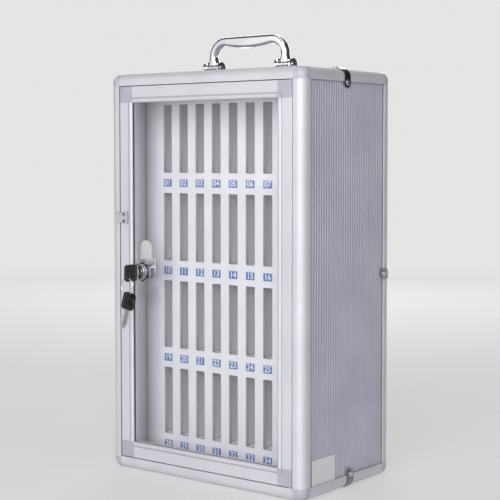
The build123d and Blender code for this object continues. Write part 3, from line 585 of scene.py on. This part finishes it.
low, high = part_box("number_labels")
column_pitch = (high.x - low.x - LABEL_WIDTH) / (COLUMNS - 1)
row_pitch = (high.z - low.z - LABEL_HEIGHT) / (ROWS - 1)
print("label pitches in mm", round(column_pitch / MM, 2), round(row_pitch / MM, 2))

# %% [markdown]
# A text curve becomes a mesh with one call. It is laid out in the XY plane, so it is stood up into the XZ
# plane, the plane of the labels. A print has no measurable thickness, but two faces in the same place
# flicker, so the digits are a thin slab.

# %% Print the numbers
DIGIT_HEIGHT = 7.4 * MM
CAPITAL_SHARE = 0.72  # height of a digit as a share of the type size
DIGIT_WEIGHT = 0.22 * MM  # how much the strokes are thickened
PRINT_THICKNESS = 0.04 * MM


def number_mesh(text):
    """The outline of a short number as a mesh in the XZ plane, centred on the origin."""
    curve = bpy.data.curves.new("number", "FONT")
    curve.body = text
    curve.size = DIGIT_HEIGHT / CAPITAL_SHARE
    curve.align_x = "CENTER"
    curve.align_y = "CENTER"
    curve.offset = DIGIT_WEIGHT
    curve.extrude = PRINT_THICKNESS / 2
    curve.resolution_u = 4
    holder = bpy.data.objects.new("number", curve)
    mesh = bpy.data.meshes.new_from_object(holder)
    bpy.data.objects.remove(holder)
    bpy.data.curves.remove(curve)
    mesh.transform(Matrix.Rotation(math.radians(90), 4, "X"))
    return mesh


def new_piece(name, vertices, faces, finish):
    """A mesh object with a finish, linked to the scene."""
    mesh = bpy.data.meshes.new(name)
    mesh.from_pydata(vertices, [], faces)
    mesh.materials.append(finish)
    piece = bpy.data.objects.new(name, mesh)
    bpy.context.scene.collection.objects.link(piece)
    return piece


digits, outlines = [], []
for row in range(ROWS):
    for column in range(COLUMNS):
        mesh = number_mesh(f"{row * COLUMNS + column + 1:02d}")
        x = low.x + LABEL_WIDTH / 2 + column * column_pitch
        z = high.z - LABEL_HEIGHT / 2 - row * row_pitch
        mesh.transform(Matrix.Translation((x, low.y - PRINT_THICKNESS / 2, z)))
        first = len(digits)
        digits += [vertex.co.copy() for vertex in mesh.vertices]
        outlines += [[first + index for index in face.vertices] for face in mesh.polygons]
slot_numbers = new_piece("slot_numbers", digits, outlines, print_white)
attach(slot_numbers, "case")
print("numbers", ROWS * COLUMNS, "faces", len(slot_numbers.data.polygons))

# %% [markdown]
# ## A blank sticker on the side
#
# A white paper label is stuck over the ribs near the bottom front corner of the right side. It carries no
# print here. Paper over ribs sags a little between the crests, so the sheet is a fine grid whose height
# follows the ribs, and its free lower corner lifts slightly.

# %% Blank sticker
STICKER_FRONT, STICKER_WIDTH = 20.0 * MM, 48.0 * MM  # from the case's front
STICKER_LOW, STICKER_HEIGHT = 14.2 * MM, 31.0 * MM
STICKER_SAG, RIB_PITCH = 0.12 * MM, 5.0 * MM
STICKER_LIFT, LIFTED_SHARE = 0.25 * MM, 0.25  # height of the free corner, and how much of the sheet lifts
PAPER_THICKNESS, PAPER_GAP = 0.1 * MM, 0.15 * MM  # the gap is from the crests of the ribs
ACROSS, UP = 96, 12

skin_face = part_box("right_panel")[1].x
case_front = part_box("front_right_profile")[0].y


def sticker_point(i, k):
    """A point of the paper grid, i across and k up."""
    y = case_front + STICKER_FRONT + STICKER_WIDTH * i / ACROSS
    z = STICKER_LOW + STICKER_HEIGHT * k / UP
    sag = STICKER_SAG * (0.5 - 0.5 * math.cos(2 * math.pi * y / RIB_PITCH))
    corner = max(0.0, 1.0 - (i / ACROSS + k / UP) / LIFTED_SHARE)
    return (skin_face + PAPER_GAP - sag + STICKER_LIFT * corner, y, z)


grid = [sticker_point(i, k) for i in range(ACROSS + 1) for k in range(UP + 1)]
step = UP + 1
quads = [
    (i * step + k, (i + 1) * step + k, (i + 1) * step + k + 1, i * step + k + 1)
    for i in range(ACROSS)
    for k in range(UP)
]
sticker = new_piece("blank_sticker", grid, quads, paper_white)
paper = sticker.modifiers.new("paper", "SOLIDIFY")
paper.thickness = PAPER_THICKNESS
paper.offset = -1.0
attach(sticker, "case")
print("sticker", STICKER_WIDTH, STICKER_HEIGHT)

# %% [markdown]
# ## The studio
#
# The box stands on a pale floor. The floor fades to plain white with distance, so that no horizon shows from
# any side: close to the box it is half a real surface, which holds the shadow, and half glow, and far away it
# is all glow. The glow is for the camera and for reflections only, so that it adds no light to the box.

# %% Which rays see the background


def sees_background(tree):
    """1 for camera, glossy and transmission rays, 0 for the rays that carry light."""
    ray = add_node(tree, "ShaderNodeLightPath")
    first = add_node(
        tree,
        "ShaderNodeMath",
        {0: ray.outputs["Is Camera Ray"], 1: ray.outputs["Is Glossy Ray"]},
        operation="MAXIMUM",
    )
    both = add_node(
        tree,
        "ShaderNodeMath",
        {0: first.outputs[0], 1: ray.outputs["Is Transmission Ray"]},
        operation="MAXIMUM",
    )
    return both.outputs[0]


BACKGROUND = 0.78  # what the camera and reflections see around the box; 1 is white
print("background", BACKGROUND)

# %% [markdown]
# The floor is one large square a fifth of a millimetre below the box, so that the two never share a face. Its
# material mixes the real surface with the glow, by the distance from the box and by the kind of ray.

# %% Floor
FLOOR_HALF, FLOOR_DROP = 12.0, 0.2 * MM  # half its width, and how far below the box it lies
FADE_START, FADE_END = 0.3, 3.2  # distance from the box, metres
FLOOR_LIFT = 0.5  # how much of the glow there is right at the box

floor_finish, tree, shader = new_material("studio_floor")
floor_tint = place(tree, mottle, Light=(0.80, 0.80, 0.81, 1.0), Dark=(0.78, 0.78, 0.79, 1.0), Scale=3.0)
tree.links.new(floor_tint.outputs["Color"], shader.inputs["Base Color"])
shader.inputs["Roughness"].default_value = 0.9
shader.inputs["Specular IOR Level"].default_value = 0.1
where = add_node(tree, "ShaderNodeTexCoord")
distance = add_node(tree, "ShaderNodeVectorMath", {0: where.outputs["Object"]}, operation="LENGTH")
fade = add_node(
    tree,
    "ShaderNodeMapRange",
    {
        "Value": distance.outputs["Value"],
        "From Min": FADE_START,
        "From Max": FADE_END,
        "To Min": FLOOR_LIFT,
    },
    interpolation_type="SMOOTHSTEP",
)
shown = add_node(
    tree, "ShaderNodeMath", {0: fade.outputs["Result"], 1: sees_background(tree)}, operation="MULTIPLY"
)
glow = add_node(tree, "ShaderNodeEmission", {"Color": (1.0, 1.0, 1.0, 1.0), "Strength": BACKGROUND})
choice = add_node(
    tree,
    "ShaderNodeMixShader",
    {0: shown.outputs[0], 1: shader.outputs["BSDF"], 2: glow.outputs["Emission"]},
)
tree.links.new(choice.outputs["Shader"], tree.nodes["Material Output"].inputs["Surface"])

corners = [(-FLOOR_HALF, -FLOOR_HALF), (FLOOR_HALF, -FLOOR_HALF)]
corners += [(FLOOR_HALF, FLOOR_HALF), (-FLOOR_HALF, FLOOR_HALF)]
floor = new_piece("studio_floor", [(x, y, -FLOOR_DROP) for x, y in corners], [(0, 1, 2, 3)], floor_finish)
print("floor", 2 * FLOOR_HALF, "m wide, fades from", FADE_START, "to", FADE_END)

# %% [markdown]
# Polished metal is only as good as what it reflects. Round a product in a studio stand white and black cards:
# a white one before the front, at the left, black ones at the left and behind the right side, and the room
# above is dark. A bright glow stands where the key lamp is: the lamp itself would show in the clear door as a
# rectangle with hard edges, so reflections see a soft patch in its place. All of them are drawn into the
# world, each as a soft patch round one direction, and only reflections see them.

# %% World
WORLD_LIGHT = 0.17
CEILING = 0.12
WALL_END, DARK_START = 0.30, 0.62  # the pale walls fade into the dark ceiling between these sines of height
CARDS = {  # degrees from the front toward the right, degrees up, radius and blur in degrees, brightness
    "key_glow": (21.8, 17.0, 14.0, 15.0, 4.8),
    "white_front_left": (-22.0, 5.0, 18.0, 20.0, 1.6),
    "black_left": (-80.0, 5.0, 26.0, 24.0, 0.08),
    "black_right_rear": (142.0, 5.0, 30.0, 24.0, 0.05),
}
world = bpy.data.worlds.new("studio")
world.use_nodes = True
bpy.context.scene.world = world
tree = world.node_tree
sky = tree.nodes["Background"]
sky.inputs["Color"].default_value = (1.0, 1.0, 1.0, 1.0)
direction = add_node(tree, "ShaderNodeTexCoord").outputs["Generated"]


def smooth_range(value, start, end, **limits):
    """A smooth step of a value between start and end, from 0 to 1 if no limits are given."""
    inputs = {"Value": value, "From Min": start, "From Max": end, **limits}
    stepped = add_node(tree, "ShaderNodeMapRange", inputs, interpolation_type="SMOOTHSTEP")
    return stepped.outputs["Result"]


def card_mask(turn, rise, radius, blur):
    """1 in the directions of a card, and 0 away from it."""
    turn, rise = math.radians(turn), math.radians(rise)
    aim = (math.sin(turn) * math.cos(rise), -math.cos(turn) * math.cos(rise), math.sin(rise))
    facing = add_node(tree, "ShaderNodeVectorMath", {0: direction, 1: aim}, operation="DOT_PRODUCT")
    outer, inner = math.cos(math.radians(radius + blur)), math.cos(math.radians(radius))
    return smooth_range(facing.outputs["Value"], outer, inner)


height = add_node(tree, "ShaderNodeSeparateXYZ", {0: direction}).outputs["Z"]
room = {"To Min": BACKGROUND, "To Max": CEILING}
backdrop = smooth_range(height, WALL_END, DARK_START, **room)
reflected = backdrop
for turn, rise, radius, blur, brightness in CARDS.values():
    inputs = {"Factor": card_mask(turn, rise, radius, blur), "A": reflected, "B": brightness}
    reflected = add_node(tree, "ShaderNodeMix", inputs).outputs["Result"]
ray = add_node(tree, "ShaderNodeLightPath")
shown = add_node(
    tree, "ShaderNodeMix", {"Factor": ray.outputs["Is Glossy Ray"], "A": backdrop, "B": reflected}
)
strength = add_node(
    tree,
    "ShaderNodeMix",
    {"Factor": sees_background(tree), "A": WORLD_LIGHT, "B": shown.outputs["Result"]},
)
tree.links.new(strength.outputs["Result"], sky.inputs["Strength"])
print("world light", WORLD_LIGHT, "cards", list(CARDS))

# %% [markdown]
# ## Lamps
#
# Big soft lamps give soft shadows. The key lamp stands about two metres before the box and a little to its
# right, so the front is lit evenly and the side falls into a half tone; from close by it would burn out the
# floor. A weak lamp above lights the top, and one behind at the left lights the back for views from there.

# %% Lamps
MIDDLE = (0.0, 0.0, 0.28)  # the lamps aim at about the middle of the box


def soft_lamp(name, spot, size, power):
    """A rectangular area lamp at a spot, aimed at the box; size is its width and height, power in watts."""
    light = bpy.data.lights.new(name, "AREA")
    light.shape = "RECTANGLE"
    light.size, light.size_y = size
    light.energy = power
    lamp = bpy.data.objects.new(name, light)
    lamp.location = spot
    lamp.visible_camera = False
    lamp.rotation_euler = (Vector(MIDDLE) - Vector(spot)).to_track_quat("-Z", "Y").to_euler()
    bpy.context.scene.collection.objects.link(lamp)
    return lamp


key_lamp = soft_lamp("key_lamp", (0.80, -2.0, 0.95), (2.0, 1.6), 38.5)
top_lamp = soft_lamp("top_lamp", (0.2, -0.1, 1.6), (1.2, 1.2), 4.0)
rear_lamp = soft_lamp("rear_lamp", (-1.3, 1.9, 0.95), (1.5, 1.3), 26.0)
key_lamp.visible_glossy = False  # its reflection is the glow in the world, which has soft edges
print("lamps", [(lamp.name, lamp.data.energy) for lamp in (key_lamp, top_lamp, rear_lamp)])

# %% [markdown]
# ## Camera
#
# The camera stands at the right of the front, a little above the middle of the box, and looks slightly down.
# Its place was worked out from the box's own edges: where the upright and level edges of a box of known
# proportions land in a picture fixes the camera's distance, turn and focal length.

# %% Camera
CAMERA_PLACE = (1.0002, -1.2834, 0.3992)
CAMERA_AZIMUTH, CAMERA_DOWN, CAMERA_ROLL = 37.892, 3.117, -0.04  # degrees
CAMERA_LENS, SENSOR = 93.26, 36.0  # millimetres
CAMERA_SHIFT = -0.05  # share of the picture that it is shifted down, as with a shift lens

camera_data = bpy.data.cameras.new("camera")
camera_data.lens = CAMERA_LENS
camera_data.sensor_width = SENSOR
camera_data.shift_y = CAMERA_SHIFT
camera = bpy.data.objects.new("camera", camera_data)
turn = Euler((math.radians(90 - CAMERA_DOWN), 0.0, math.radians(CAMERA_AZIMUTH))).to_matrix()
turn = turn @ Matrix.Rotation(math.radians(CAMERA_ROLL), 3, "Z")
camera.matrix_world = Matrix.Translation(CAMERA_PLACE) @ turn.to_4x4()
bpy.context.scene.collection.objects.link(camera)
bpy.context.scene.camera = camera
bpy.context.scene.view_settings.view_transform = "Standard"
print("camera", CAMERA_PLACE)
